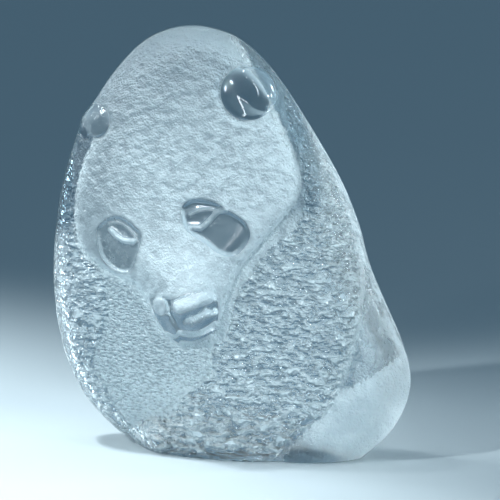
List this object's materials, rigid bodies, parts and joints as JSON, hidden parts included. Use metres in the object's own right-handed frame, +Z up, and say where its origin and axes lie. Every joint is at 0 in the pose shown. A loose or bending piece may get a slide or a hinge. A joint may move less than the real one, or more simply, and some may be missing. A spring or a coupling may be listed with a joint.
{
  "type": "glass panda paperweight",
  "caption": "Heavy clear-glass pebble with a crouching panda moulded in its front, flat below, used as a paperweight or shelf ornament.",
  "frame": {"origin": "on the surface it stands on, under the middle of the glass's box", "axes": "+Z up, the panda's front towards -Y, the rump at +X"},
  "size_m": [0.1226, 0.0535, 0.1299],
  "materials": {
    "clear_glass": "clear pressed glass, polished on the ears, eye patches, nose, rim and back, frosted on the face and fur"
  },
  "bodies": {
    "root": {"glass_panda": "clear_glass"}
  },
  "joints": []
}
